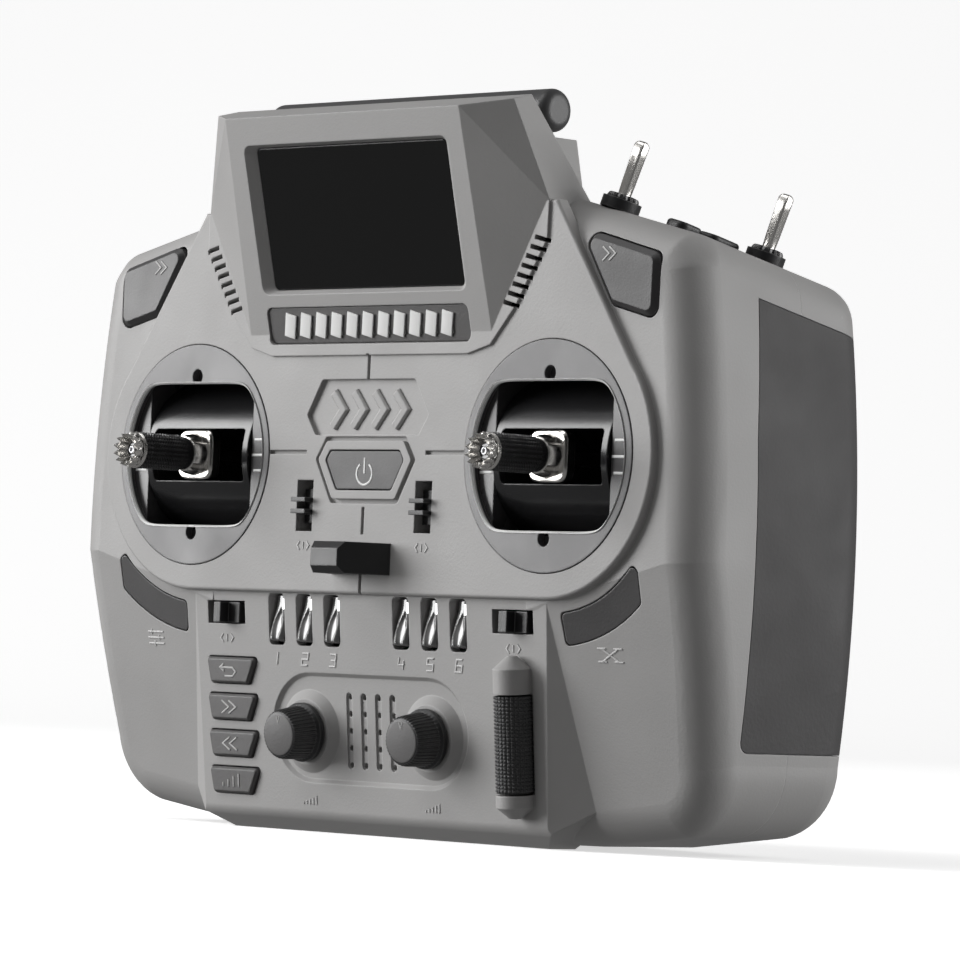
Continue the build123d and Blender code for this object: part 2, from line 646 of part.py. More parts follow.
# ---- gimbals ----
print("gimbals")
for name, side in SIDES.items():
    centre = side * STICK_X
    with BuildPart() as gimbal_plate:
        with BuildSketch(front(-0.2)):
            with Locations((centre, 0)):
                Circle(RING_R)
        extrude(amount=-1.8)
        with BuildSketch(front(-0.2)) as window:
            with Locations((centre, 0)):
                Circle(WINDOW_R)
                Rectangle(2 * WINDOW_R, 2 * WINDOW_FLAT, mode=Mode.INTERSECT)
            fillet(window.vertices(), 3)
        extrude(amount=-1.8, mode=Mode.SUBTRACT)
        with BuildSketch(front(-0.2)):
            for height in (-1, 1):
                with Locations((centre, height * (WINDOW_FLAT + 1.5))):
                    Circle(1.7)
                with Locations((centre, height * (WINDOW_FLAT + 0.3))):
                    Rectangle(1.2, 2.4)
        extrude(amount=-1.8, mode=Mode.SUBTRACT)
    gimbal_plate.part.label = f"gimbal_plate_{name}"
    export_step(gimbal_plate.part, f"parts/gimbal_plate_{name}.step")

    drum_axis = Plane(origin=at(centre, DRUM_DEPTH, 0), x_dir=(0, -1, 0), z_dir=(1, 0, 0))
    with BuildPart() as gimbal_frame:
        with BuildSketch(front(1.6)):
            with Locations((centre, 0)):
                Circle(RING_R - 0.6)
        extrude(amount=-4.6)
        with BuildSketch(front(6.2)):
            with Locations((centre, 0)):
                RectangleRounded(43, 41, 3)
        extrude(amount=-30)
        with BuildSketch(front(1.6)):
            with Locations((centre, 0)):
                Rectangle(2 * DRUM_HALF + 0.8, 2 * WINDOW_FLAT + 1.6)
        extrude(amount=-6, mode=Mode.SUBTRACT)
        with BuildSketch(front(5)):
            with Locations((centre, 0)):
                Rectangle(2 * DRUM_HALF + 0.8, 37.2)
        extrude(amount=-33, mode=Mode.SUBTRACT)
        with BuildSketch(drum_axis):
            Circle(AXLE_R + RUNNING)
        extrude(amount=30, both=True, mode=Mode.SUBTRACT)
    gimbal_frame.part.label = f"gimbal_frame_{name}"
    export_step(gimbal_frame.part, f"parts/gimbal_frame_{name}.step")

    with BuildPart() as gimbal_drum:
        with BuildSketch(drum_axis):
            Circle(DRUM_R)
        extrude(amount=DRUM_HALF, both=True)
        with BuildSketch(drum_axis):
            Circle(DRUM_R - 1.6)
        extrude(amount=DRUM_HALF - 1.5, both=True, mode=Mode.SUBTRACT)
        split(bisect_by=front(DRUM_DEPTH + 4), keep=Keep.TOP)
        with BuildSketch(front(-1)):
            with Locations((centre, 0)):
                RectangleRounded(30.6, 11.9, 1)
        extrude(amount=-12, mode=Mode.SUBTRACT)
        with BuildSketch(drum_axis):
            Circle(AXLE_R)
        extrude(amount=DRUM_HALF + 3.4, both=True)
        with BuildSketch(drum_axis):
            Circle(AXLE_R + 1)
        extrude(amount=DRUM_HALF - 1.5, both=True, mode=Mode.SUBTRACT)
        with BuildSketch(Plane(origin=at(centre, DRUM_DEPTH, 0), z_dir=(0, 0, 1))):
            Circle(1.2)
        extrude(amount=DRUM_R - 1, both=True)
    gimbal_drum.part.label = f"gimbal_drum_{name}"
    export_step(gimbal_drum.part, f"parts/gimbal_drum_{name}.step")

    pivot = Plane(origin=at(centre, DRUM_DEPTH, 0), z_dir=(0, 0, 1))
    with BuildPart() as stick:
        with BuildSketch(pivot):
            Circle(3.6)
        extrude(amount=4.5, both=True)
        with BuildSketch(front(DRUM_DEPTH)):
            with Locations((centre, 0)):
                Circle(2.2)
        extrude(amount=DRUM_DEPTH)
        with BuildSketch(front(0.2)):
            with Locations((centre, 0)):
                Circle(2.6)
        extrude(amount=2.0)
        with BuildSketch(front(-1.8)):
            with Locations((centre, 0)):
                Circle(4.1)
        extrude(amount=15.6)
        with BuildSketch(pivot):
            Circle(1.2 + RUNNING)
        extrude(amount=8, both=True, mode=Mode.SUBTRACT)
    stick.part.label = f"stick_{name}"
    export_step(stick.part, f"parts/stick_{name}.step")

    with BuildPart() as stick_nut:
        with BuildSketch(front(0)):
            with Locations((centre, 0)):
                RectangleRounded(11.3, 11.3, 2.4)
        extrude(amount=-3)
        chamfer(stick_nut.faces().sort_by(Axis.Y)[:1].edges(), 0.6)
        with BuildSketch(front(-1)):
            with Locations((centre, 0)):
                Circle(2.6 + RUNNING)
        extrude(amount=-6, mode=Mode.SUBTRACT)
        with BuildSketch(front(-1)):
            with Locations((centre, 0)):
                with GridLocations(7.4, 7.4, 2, 2):
                    Circle(0.8)
        extrude(amount=-6, mode=Mode.SUBTRACT)
    stick_nut.part.label = f"stick_nut_{name}"
    export_step(stick_nut.part, f"parts/stick_nut_{name}.step")

    with BuildPart() as stick_tip:
        with BuildSketch(front(-17.4)):
            with Locations((centre, 0)):
                Circle(4.1)
        extrude(amount=3.2)
        with BuildSketch(front(-20.6)):
            with Locations((centre, 0)):
                with PolarLocations(2.9, 8):
                    RegularPolygon(0.95, 4)
        extrude(amount=1.0, taper=30)
    stick_tip.part.label = f"stick_tip_{name}"
    export_step(stick_tip.part, f"parts/stick_tip_{name}.step")

# ---- keys of the face plate ----
print("controls")
with BuildPart() as power_button:
    with BuildSketch(front(-0.1)):
        add(half_outline(POWER, -1.9 - GAP))
    extrude(amount=-8)
power_button.part.label = "power_button"
export_step(power_button.part, "parts/power_button.step")

for name, (x, z, width, height) in TRIM_SLOTS.items():
    across = width > height
    with BuildPart() as trim_lever:
        with BuildSketch(front(2.2)):
            with Locations((x, z)):
                Rectangle(8.6 if across else width - 2 * GAP, height - 2 * GAP if across else 7.6)
        extrude(amount=-7)
        with BuildSketch(front(2.2)):
            with Locations((x, z)):
                if across:
                    Rectangle(1.4, height - 2 * GAP)
                else:
                    with GridLocations(1, 2.6, 1, 2):
                        Rectangle(width - 2 * GAP, 1.0)
        extrude(amount=2.6 if across else 4.4)
    trim_lever.part.label = name
    export_step(trim_lever.part, f"parts/{name}.step")

for number, x in enumerate(FUNCTION_X, start=1):
    with BuildPart() as function_button:
        with BuildSketch(on_panel(x, FUNCTION_Z, 0)):
            RectangleRounded(FUNCTION_W, FUNCTION_H, 1.0)
        extrude(amount=-7)
        with BuildSketch(Plane(origin=on_panel(x, FUNCTION_Z, 0).origin, x_dir=(0, 1, 0), z_dir=(1, 0, 0))):
            with BuildLine():
                Polyline((1.0, FUNCTION_H / 2), (-0.9, 1.5), (-0.9, -2.5), (1, -FUNCTION_H / 2),
                         (1.5, 0), close=True)
            make_face()
        extrude(amount=FUNCTION_W / 2 - 0.4, both=True)
    function_button.part.label = f"function_button_{number}"
    export_step(function_button.part, f"parts/function_button_{number}.step")

for name, top in MENU_KEYS.items():
    with BuildPart() as key:
        with BuildSketch(PANEL):
            add(menu_key(top, 0))
        extrude(amount=1.1)
        chamfer(key.faces().sort_by(Axis.Y)[:1].edges(), 0.5)
        with BuildSketch(PANEL):
            add(menu_key(top, 0))
        extrude(amount=-7)
    key.part.label = name
    export_step(key.part, f"parts/{name}.step")

for name, side in {"system_key": -1, "model_key": 1}.items():
    with BuildPart() as key:
        with BuildSketch(front(0.8)):
            add(arc_key(0) if side > 0 else mirror(arc_key(0), about=Plane.YZ, mode=Mode.PRIVATE))
        extrude(amount=-13)
        flush = [(side * x, depth + 0.1, height) for x, depth, height in SIDE_FRONT]
        split(bisect_by=facet(flush), keep=Keep.BOTTOM)
    key.part.label = name
    export_step(key.part, f"parts/{name}.step")

for name, side in SIDES.items():
    with BuildPart() as corner_button:
        with BuildSketch(front(0.7)):
            add(corner_key(0) if side > 0 else mirror(corner_key(0), about=Plane.YZ, mode=Mode.PRIVATE))
        extrude(amount=-9.3)
        chamfer(corner_button.faces().sort_by(Axis.Y)[:1].edges(), 1.2)
    corner_button.part.label = f"corner_button_{name}"
    export_step(corner_button.part, f"parts/corner_button_{name}.step")

with BuildPart() as strap_hook:
    with BuildSketch(Plane.XY.offset(AXIS_Z - 22.9)):
        with BuildLine():
            Polyline((-9.3, FACE_Y), (-4.2, FACE_Y - 11.3), (4.2, FACE_Y - 11.3), (9.3, FACE_Y), close=True)
        make_face()
    extrude(amount=3.5, both=True)
    chamfer(strap_hook.edges().filter_by(Axis.X).group_by(Axis.Y)[0], 1.6)
    with BuildSketch(Plane.XY.offset(AXIS_Z - 30)):
        with Locations((0, FACE_Y - 6.7)):
            RectangleRounded(6.4, 5.2, 1.4)
    extrude(amount=16, mode=Mode.SUBTRACT)
strap_hook.part.label = "strap_hook"
export_step(strap_hook.part, "parts/strap_hook.step")

# ---- knobs, roller, speaker ----
for name, side in SIDES.items():
    with BuildPart() as knob:
        with BuildSketch(on_panel(side * KNOB_X, KNOB_Z, -1.5)):
            Circle(6.6)
        extrude(amount=1.4)
        with BuildSketch(on_panel(side * KNOB_X, KNOB_Z, -1.5)):
            Circle(5.8)
        extrude(amount=7.6)
        with BuildSketch(on_panel(side * KNOB_X, KNOB_Z, -1.5)):
            Circle(2.95)
        extrude(amount=-6.5)
    knob.part.label = f"knob_{name}"
    export_step(knob.part, f"parts/knob_{name}.step")

with BuildPart() as potentiometers:
    with BuildSketch(on_panel(0, KNOB_Z, 5.2)):
        with Locations((KNOB_X, 0), (-KNOB_X, 0)):
            RectangleRounded(11, 12, 1)
    extrude(amount=-6)
potentiometers.part.label = "potentiometers"
export_step(potentiometers.part, "parts/potentiometers.step")

with BuildPart() as speaker:
    with BuildSketch(on_panel(0, -61.2, WALL + 0.3)):
        RectangleRounded(20, 22, 3)
    extrude(amount=-5)
speaker.part.label = "speaker"
export_step(speaker.part, "parts/speaker.step")

with BuildPart() as scroll_roller:
    with BuildSketch(roller_bed.offset(0.3)):
        Circle(ROLLER_R)
    extrude(amount=21.1)
    with BuildSketch(roller_bed.offset(-2)):
        Circle(1.2)
    extrude(amount=25.7)
scroll_roller.part.label = "scroll_roller"
export_step(scroll_roller.part, "parts/scroll_roller.step")

# ---- shoulder switches and buttons ----
with BuildPart() as toggle_bushings:
    for side in SIDES.values():
        for x, depth in SHOULDER_ITEMS.values():
            with BuildSketch(on_shoulder(x, depth, side)):
                Circle(4.35)
                Circle(2.6, mode=Mode.SUBTRACT)
            extrude(amount=2.4)
            with BuildSketch(on_shoulder(x, depth, side)):
                Circle(3.3)
                Circle(2.6, mode=Mode.SUBTRACT)
            extrude(amount=-6)
            with BuildSketch(on_shoulder(x, depth, side, -6)):
                Rectangle(8, 7)
            extrude(amount=-8)
toggle_bushings.part.label = "toggle_bushings"
export_step(toggle_bushings.part, "parts/toggle_bushings.step")

for name, side in SIDES.items():
    for place, (x, depth) in SHOULDER_ITEMS.items():
        with BuildPart() as toggle:
            with BuildSketch(on_shoulder(x, depth, side, -1)):
                Circle(1.45)
            extrude(amount=16.8)
            with BuildSketch(on_shoulder(x, depth, side, -1)):
                Circle(1.9)
            extrude(amount=1.4, both=True)
        toggle.part.label = f"{place}_{name}"
        export_step(toggle.part, f"parts/{place}_{name}.step")
    for place, (x, depth, length) in SHOULDER_BUTTONS.items():
        with BuildPart() as cap:
            with BuildSketch(on_shoulder(x, depth, side, -6)):
                RectangleRounded(6, length, 2)
            extrude(amount=8)
            fillet(cap.faces().sort_by(Axis.Z)[-1:].edges(), 0.8)
        cap.part.label = f"{place}_{name}"
        export_step(cap.part, f"parts/{place}_{name}.step")

# ---- folding antenna bar ----
BAR = (11.2, 75.6)
HINGE = (24.4, 66.2)
with BuildPart() as antenna_bar:
    with BuildSketch(Plane(origin=at(0, *BAR), x_dir=(0, 1, 0), z_dir=(1, 0, 0))):
        Circle(ANTENNA_R)
    extrude(amount=ANTENNA_HALF, both=True)
    fillet(antenna_bar.faces().sort_by(Axis.X)[-1:].edges(), 2.2)
    fillet(antenna_bar.faces().sort_by(Axis.X)[:1].edges(), 2.2)
    with BuildSketch(Plane(origin=at(0, 0, 0), x_dir=(0, 1, 0), z_dir=(1, 0, 0))):
        with BuildLine():
            Polyline((BAR[0], 79), (HINGE[0] + 1, 77.5), (HINGE[0] + 3.4, 74), (HINGE[0] + 3.4, HINGE[1]),
                     (HINGE[0] - 3.4, HINGE[1]), (HINGE[0] - 3.4, 71.4), (BAR[0], 71.4), close=True)
        make_face()
    extrude(amount=8, both=True)
    with BuildSketch(Plane(origin=at(0, *HINGE), x_dir=(0, 1, 0), z_dir=(1, 0, 0))):
        Circle(3.4)
    extrude(amount=8, both=True)
    with BuildSketch(Plane(origin=at(0, *HINGE), x_dir=(0, 1, 0), z_dir=(1, 0, 0))):
        Circle(1.25 + RUNNING)
    extrude(amount=20, both=True, mode=Mode.SUBTRACT)
antenna_bar.part.label = "antenna_bar"
export_step(antenna_bar.part, "parts/antenna_bar.step")

with BuildPart() as antenna_hinge:
    for side in SIDES.values():
        with BuildSketch(Plane(origin=at(side * 10.4, 0, 0), x_dir=(0, 1, 0), z_dir=(1, 0, 0))):
            with BuildLine():
                Polyline((20.4, 62), (20.4, 68), (HINGE[0] - 1, HINGE[1] + 3.4),
                         (HINGE[0] + 2, HINGE[1] + 3.4),
                         (HINGE[0] + 5, 62), close=True)
            make_face()
        extrude(amount=2, both=True)
    with BuildSketch(Plane(origin=at(0, *HINGE), x_dir=(0, 1, 0), z_dir=(1, 0, 0))):
        Circle(1.25)
    extrude(amount=11, both=True)
antenna_hinge.part.label = "antenna_hinge"
export_step(antenna_hinge.part, "parts/antenna_hinge.step")
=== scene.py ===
# %% [markdown]
# # A two-stick radio transmitter
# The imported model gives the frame: every casing, key and lever is already in its place
# and moves with its own body. This script gives each of them its finish, and makes the
# small pieces that a plain solid can't carry, such as knurls, inlays and printed marks.
# All lengths are in metres.

# %% Load the frame
import bpy
import numpy as np
from math import cos, pi, radians, sin
from mathutils import Matrix, Vector


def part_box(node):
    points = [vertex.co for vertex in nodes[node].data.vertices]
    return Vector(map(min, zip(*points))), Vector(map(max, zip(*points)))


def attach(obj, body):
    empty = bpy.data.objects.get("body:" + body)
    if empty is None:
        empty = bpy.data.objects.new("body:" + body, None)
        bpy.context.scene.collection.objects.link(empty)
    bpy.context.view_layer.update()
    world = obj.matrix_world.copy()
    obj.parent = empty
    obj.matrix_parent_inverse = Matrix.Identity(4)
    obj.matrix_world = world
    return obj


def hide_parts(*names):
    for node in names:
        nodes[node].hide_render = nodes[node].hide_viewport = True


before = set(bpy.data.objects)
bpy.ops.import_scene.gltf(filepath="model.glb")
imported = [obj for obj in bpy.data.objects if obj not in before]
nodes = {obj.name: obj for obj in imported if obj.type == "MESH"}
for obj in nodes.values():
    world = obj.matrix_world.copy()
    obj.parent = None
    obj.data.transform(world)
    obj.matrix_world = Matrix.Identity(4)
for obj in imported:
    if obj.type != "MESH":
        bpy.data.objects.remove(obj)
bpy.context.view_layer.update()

# %% [markdown]
# Everything is placed from a few lines of the object itself. The stick axis is the middle
# of the round cover plates, and the face is the plane that they stand on. Working from
# these, a place reads as (side, depth behind the face, height above the stick axis).

# %% The object's own axes
MM = 0.001
COVER_LOW, COVER_HIGH = (np.array(corner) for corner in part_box("gimbal_plate_right"))
STICK_X = (COVER_LOW[0] + COVER_HIGH[0]) / 2
AXIS_Z = (COVER_LOW[2] + COVER_HIGH[2]) / 2
FACE_Y = COVER_LOW[1] + 0.2 * MM
PANEL_TOP = np.array([0, FACE_Y + 1.8 * MM, AXIS_Z - 31 * MM])
PANEL_UP = np.array([0, -4.8, 49.5]) / np.hypot(4.8, 49.5)
PANEL_OUT = np.array([0, -PANEL_UP[2], PANEL_UP[1]])
SCREEN_TOP = np.array([0, FACE_Y - 12.4 * MM, AXIS_Z + 74.6 * MM])
SCREEN_UP = np.array([0, -11.1, 44.9]) / np.hypot(11.1, 44.9)
SCREEN_OUT = np.array([0, -SCREEN_UP[2], SCREEN_UP[1]])
SIDE_AXIS = np.array([1.0, 0.0, 0.0])
print("stick axis", round(STICK_X, 4), round(AXIS_Z, 4), "face", round(FACE_Y, 4))


# %% [markdown]
# ## Camera, floor and light
# A long lens from the front right, almost level, keeps the upright lines nearly parallel.
# The light is two big soft panels, one at each side, with little between them: flat faces
# turned to either side are bright, and what faces the camera straight on falls dark.

# %% Camera
VIEW_AZIMUTH = 45.275


def look(azimuth, elevation, roll, distance, across, up, lens):
    """A camera on a sphere round the stick axis, turned by roll about its own view."""
    a, e, r = radians(azimuth), radians(elevation), radians(roll)
    back = Vector((sin(a) * cos(e), -cos(a) * cos(e), sin(e)))
    right = Vector((cos(a), sin(a), 0))
    top = back.cross(right)
    data = bpy.data.cameras.new("camera")
    data.lens, data.sensor_width = lens, 36
    data.clip_start, data.clip_end = 0.05, 50
    camera = bpy.data.objects.new("camera", data)
    bpy.context.collection.objects.link(camera)
    level = Vector((0, FACE_Y, AXIS_Z))
    camera.location = level + back * distance + right * across + top * up
    turned = right * cos(r) + top * sin(r)
    axes = Matrix((turned, back.cross(turned), back)).transposed()
    camera.rotation_euler = axes.to_euler()
    bpy.context.scene.camera = camera
    return camera


camera = look(azimuth=VIEW_AZIMUTH, elevation=-1.899, roll=2.424, distance=1.21283, across=0.025464,
              up=-0.004415, lens=206.38)
print("lens", round(camera.data.lens, 1), "at", [round(v, 3) for v in camera.location])


# %% Floor and light
def panel_light(name, place, target, size, power):
    """A rectangular soft light that faces a target."""
    data = bpy.data.lights.new(name, "AREA")
    data.shape, data.size, data.size_y = "RECTANGLE", *size
    data.energy = power
    light = bpy.data.objects.new(name, data)
    bpy.context.collection.objects.link(light)
    light.location = place
    light.rotation_euler = (Vector(target) - Vector(place)).to_track_quat("-Z", "Y").to_euler()
    return light


def backdrop():
    """A sheet that runs flat under the object, then bends up behind it: a quarter circle
    joins the level run to the upright one. Gloss and soft light don't see it."""
    flat, bend, tall, half = 3.0, 1.2, 4.0, 6.0
    turn = np.linspace(0, pi / 2, 24)
    depth = np.concatenate([[-flat], flat / 2 + bend * np.sin(turn), [flat / 2 + bend]])
    height = np.concatenate([[0], bend * (1 - np.cos(turn)), [bend + tall]])
    # the sheet faces the camera, so it runs away along the camera's own direction
    a = radians(VIEW_AZIMUTH)
    ahead, across = np.array([-sin(a), cos(a), 0]), np.array([cos(a), sin(a), 0])
    rows = depth[:, None] * ahead + height[:, None] * np.array([0, 0, 1])
    points = np.concatenate([rows - half * across, rows + half * across])
    n = len(depth)
    faces = [(i, n + i, n + i + 1, i + 1) for i in range(n - 1)]
    mesh = bpy.data.meshes.new("backdrop")
    mesh.from_pydata(points.tolist(), [], faces)
    mesh.shade_smooth()
    sheet = bpy.data.objects.new("backdrop", mesh)
    bpy.context.collection.objects.link(sheet)
    paper = bpy.data.materials.new("backdrop_paper")
    paper.use_nodes = True
    shader = paper.node_tree.nodes["Principled BSDF"]
    shader.inputs["Base Color"].default_value = (0.93, 0.93, 0.93, 1)
    shader.inputs["Roughness"].default_value = 0.9
    shader.inputs["Emission Color"].default_value = (1, 1, 1, 1)
    shader.inputs["Emission Strength"].default_value = 0.55
    mesh.materials.append(paper)
    sheet.visible_glossy = False
    sheet.visible_diffuse = False
    return sheet


def dark_card(azimuth, distance, size):
    """A black card behind the camera, so that what faces the camera reflects little."""
    a = radians(azimuth)
    ahead, across = Vector((sin(a), -cos(a), 0)), Vector((cos(a), sin(a), 0))
    middle = ahead * distance + Vector((0, 0, 0.9))
    corners = [middle + across * size * u + Vector((0, 0, size * v))
               for u, v in ((-0.5, -0.4), (0.5, -0.4), (0.5, 0.6), (-0.5, 0.6))]
    mesh = bpy.data.meshes.new("dark_card")
    mesh.from_pydata(corners, [], [(0, 1, 2, 3)])
    card = bpy.data.objects.new("dark_card", mesh)
    bpy.context.collection.objects.link(card)
    card.visible_camera = False
    felt = bpy.data.materials.new("felt")
    felt.use_nodes = True
    shader = felt.node_tree.nodes["Principled BSDF"]
    shader.inputs["Base Color"].default_value = (0.01, 0.01, 0.01, 1)
    shader.inputs["Roughness"].default_value = 1.0
    mesh.materials.append(felt)
    return card


sheet = backdrop()
dark_card(VIEW_AZIMUTH, 2.6, 2.4)
print("stage set", sheet.name)

# %% Room and lamps
world = bpy.data.worlds.new("room")
world.use_nodes = True
room = world.node_tree.nodes["Background"]
room.inputs["Color"].default_value = (1, 1, 1, 1)
room.inputs["Strength"].default_value = 0.2
bpy.context.scene.world = world
bpy.context.scene.view_settings.view_transform = "Standard"
TARGET = (0, 0, AXIS_Z)
panel_light("left_panel", (-1.38, -1.05, 0.5), TARGET, (0.9, 1.3), 36)
panel_light("right_panel", (1.34, 1.12, 0.5), TARGET, (0.9, 1.3), 15)
panel_light("top_panel", (-0.45, -0.75, 1.5), TARGET, (1.1, 0.8), 7)
panel_light("low_panel", (1.15, 0.75, 0.08), TARGET, (0.9, 0.12), 3)
print("lamps", [light.name for light in bpy.data.lights])

# %% [markdown]
# ## Finishes
# Moulded plastic is never one flat colour. The die leaves a fine grain, handling polishes
# it in patches, and on edges a painted highlight lightens the colour. Each of these is a
# shader group that puts out values, so that every material can take its own amount.

# %% Shader groups
def group(name, inputs, outputs):
    """A node group with float or vector sockets: name -> kind."""
    tree = bpy.data.node_groups.new(name, "ShaderNodeTree")
    for label, (kind, default) in inputs.items():
        socket = tree.interface.new_socket(label, in_out="INPUT", socket_type=kind)
        if default is not None:
            socket.default_value = default
    for label, kind in outputs.items():
        tree.interface.new_socket(label, in_out="OUTPUT", socket_type=kind)
    entry = tree.nodes.new("NodeGroupInput")
    leave = tree.nodes.new("NodeGroupOutput")
    return tree, entry, leave


FLOAT, VECTOR = "NodeSocketFloat", "NodeSocketVector"


def math_node(tree, operation, first, second=None, clamp=False):
    """One arithmetic step; each input is a socket or a number."""
    node = tree.nodes.new("ShaderNodeMath")
    node.operation, node.use_clamp = operation, clamp
    for slot, value in enumerate((first, second)):
        if value is None:
            continue
        if isinstance(value, (int, float)):
            node.inputs[slot].default_value = value
        else:
            tree.links.new(value, node.inputs[slot])
    return node.outputs[0]


def make_grain():
    """Die grain: two noises, fine and finer, added for height, and a slow one for patches."""
    tree, entry, leave = group(
        "moulded_grain",
        {"Vector": (VECTOR, None), "Scale": (FLOAT, 2600.0), "Patch": (FLOAT, 45.0)},
        {"Height": FLOAT, "Patches": FLOAT},
    )
    fine = tree.nodes.new("ShaderNodeTexNoise")
    finer = tree.nodes.new("ShaderNodeTexVoronoi")
    slow = tree.nodes.new("ShaderNodeTexNoise")
    fine.inputs["Detail"].default_value = 2.0
    slow.inputs["Detail"].default_value = 4.0
    slow.inputs["Roughness"].default_value = 0.6
    for node in (fine, finer, slow):
        tree.links.new(entry.outputs["Vector"], node.inputs["Vector"])
    tree.links.new(entry.outputs["Scale"], fine.inputs["Scale"])
    tree.links.new(math_node(tree, "MULTIPLY", entry.outputs["Scale"], 0.55), finer.inputs["Scale"])
    tree.links.new(entry.outputs["Patch"], slow.inputs["Scale"])
    total = math_node(tree, "ADD", fine.outputs[0], math_node(tree, "MULTIPLY", finer.outputs[0], 0.6))
    tree.links.new(total, leave.inputs["Height"])
    tree.links.new(slow.outputs[0], leave.inputs["Patches"])
    return tree


def make_edge():
    """Painted edge highlight: where a rounded normal leaves the face's own normal, the mask rises. The
    mask lightens the colour, and the rounded normal shades the edge for real.
    """
    tree, entry, leave = group(
        "edge_light", {"Radius": (FLOAT, 0.0004), "Gain": (FLOAT, 6.0)}, {"Mask": FLOAT, "Normal": VECTOR}
    )
    bevel = tree.nodes.new("ShaderNodeBevel")
    bevel.samples = 4
    face = tree.nodes.new("ShaderNodeNewGeometry")
    dot = tree.nodes.new("ShaderNodeVectorMath")
    dot.operation = "DOT_PRODUCT"
    tree.links.new(entry.outputs["Radius"], bevel.inputs["Radius"])
    tree.links.new(bevel.outputs[0], dot.inputs[0])
    tree.links.new(face.outputs["Normal"], dot.inputs[1])
    lost = math_node(tree, "SUBTRACT", 1.0, dot.outputs["Value"])
    mask = math_node(tree, "MULTIPLY", lost, entry.outputs["Gain"], clamp=True)
    tree.links.new(mask, leave.inputs["Mask"])
    tree.links.new(bevel.outputs[0], leave.inputs["Normal"])
    return tree


GRAIN, EDGE = make_grain(), make_edge()
print("shader groups", GRAIN.name, EDGE.name)


# %% A finish from the groups
def finish_of(name, colour, rough, grain=2600.0, bump=0.05, patch=0.06, edge_highlight=0.12, metallic=0.0,
              coat=0.0, patch_rough=0.08, glow=0.0):
    """A material: base colour shifted by patches and lifted on edges by a painted highlight,
    roughness from the patches, and the grain as bump over a slightly rounded normal."""
    material = bpy.data.materials.new(name)
    material.use_nodes = True
    tree = material.node_tree
    shader = tree.nodes["Principled BSDF"]
    shader.inputs["Metallic"].default_value = metallic
    shader.inputs["Coat Weight"].default_value = coat
    shader.inputs["Emission Color"].default_value = (1, 1, 1, 1)
    shader.inputs["Emission Strength"].default_value = glow
    place = tree.nodes.new("ShaderNodeTexCoord")
    texture = tree.nodes.new("ShaderNodeGroup")
    texture.node_tree = GRAIN
    texture.inputs["Scale"].default_value = grain
    tree.links.new(place.outputs["Object"], texture.inputs["Vector"])
    rim = tree.nodes.new("ShaderNodeGroup")
    rim.node_tree = EDGE
    tones = tree.nodes.new("ShaderNodeValToRGB")
    dark = [max(c * (1 - patch), 0) for c in colour]
    light = [min(c * (1 + patch), 1) for c in colour]
    low, high = tones.color_ramp.elements
    low.position, low.color = 0.35, (*dark, 1)
    high.position, high.color = 0.65, (*light, 1)
    tree.links.new(texture.outputs["Patches"], tones.inputs["Fac"])
    # painted highlight: the edge mask mixes the base colour towards white on edges
    lift = tree.nodes.new("ShaderNodeMix")
    lift.data_type = "RGBA"
    lift.inputs["B"].default_value = (*[min(c + edge_highlight * (1 - c), 1) for c in colour], 1)
    tree.links.new(rim.outputs["Mask"], lift.inputs["Factor"])
    tree.links.new(tones.outputs["Color"], lift.inputs["A"])
    tree.links.new(lift.outputs["Result"], shader.inputs["Base Color"])
    offset = math_node(tree, "SUBTRACT", texture.outputs["Patches"], 0.5)
    spread = math_node(tree, "MULTIPLY", offset, patch_rough * 4)
    tree.links.new(math_node(tree, "ADD", spread, rough, clamp=True), shader.inputs["Roughness"])
    relief = tree.nodes.new("ShaderNodeBump")
    relief.inputs["Strength"].default_value = bump
    relief.inputs["Distance"].default_value = 0.0001
    tree.links.new(texture.outputs["Height"], relief.inputs["Height"])
    tree.links.new(rim.outputs["Normal"], relief.inputs["Normal"])
    tree.links.new(relief.outputs["Normal"], shader.inputs["Normal"])
    return material


print("finish ready")

# %% Plastics
# the edge amounts below set how strong the painted highlight is on each finish's edges
CASING = finish_of("casing_grey", (0.372, 0.366, 0.362), 0.52, bump=0.25, patch=0.025, edge_highlight=0.25)
RUBBER = finish_of("grip_rubber", (0.055, 0.053, 0.054), 0.62, grain=1500, bump=0.5, edge_highlight=0.05)
DARK_KEY = finish_of("dark_key", (0.052, 0.05, 0.051), 0.45, bump=0.2, edge_highlight=0.14)
KEY = finish_of("key_grey", (0.085, 0.082, 0.082), 0.42, bump=0.2, edge_highlight=0.12)
SMOKE = finish_of("function_key", (0.16, 0.16, 0.16), 0.14, bump=0.03, edge_highlight=0.2, coat=0.6)
COVER = finish_of("cover_satin", (0.085, 0.083, 0.086), 0.36, grain=3200, bump=0.1, edge_highlight=0.2)
GLOSS = finish_of("drum_gloss", (0.014, 0.014, 0.015), 0.24, bump=0.03, edge_highlight=0.03, patch_rough=0.02)
FRAME_DARK = finish_of("frame_dark", (0.06, 0.058, 0.06), 0.3, bump=0.08, edge_highlight=0.08)
ANODISED = finish_of("anodised_black", (0.02, 0.02, 0.021), 0.22, bump=0.03, edge_highlight=0.0, coat=0.4)
LENS = finish_of("black_lens", (0.002, 0.002, 0.002), 0.05, bump=0.0, edge_highlight=0.0, patch_rough=0.01)
BLACK = finish_of("black_plastic", (0.014, 0.014, 0.015), 0.4, bump=0.12, edge_highlight=0.15)
SLATE = finish_of("antenna_slate", (0.055, 0.055, 0.056), 0.42, bump=0.15, edge_highlight=0.08)
BOARD = finish_of("green_board", (0.02, 0.12, 0.05), 0.35, grain=900, bump=0.1)
SLEEVE = finish_of("cell_sleeve", (0.05, 0.14, 0.3), 0.3, bump=0.03)
print("plastics made")

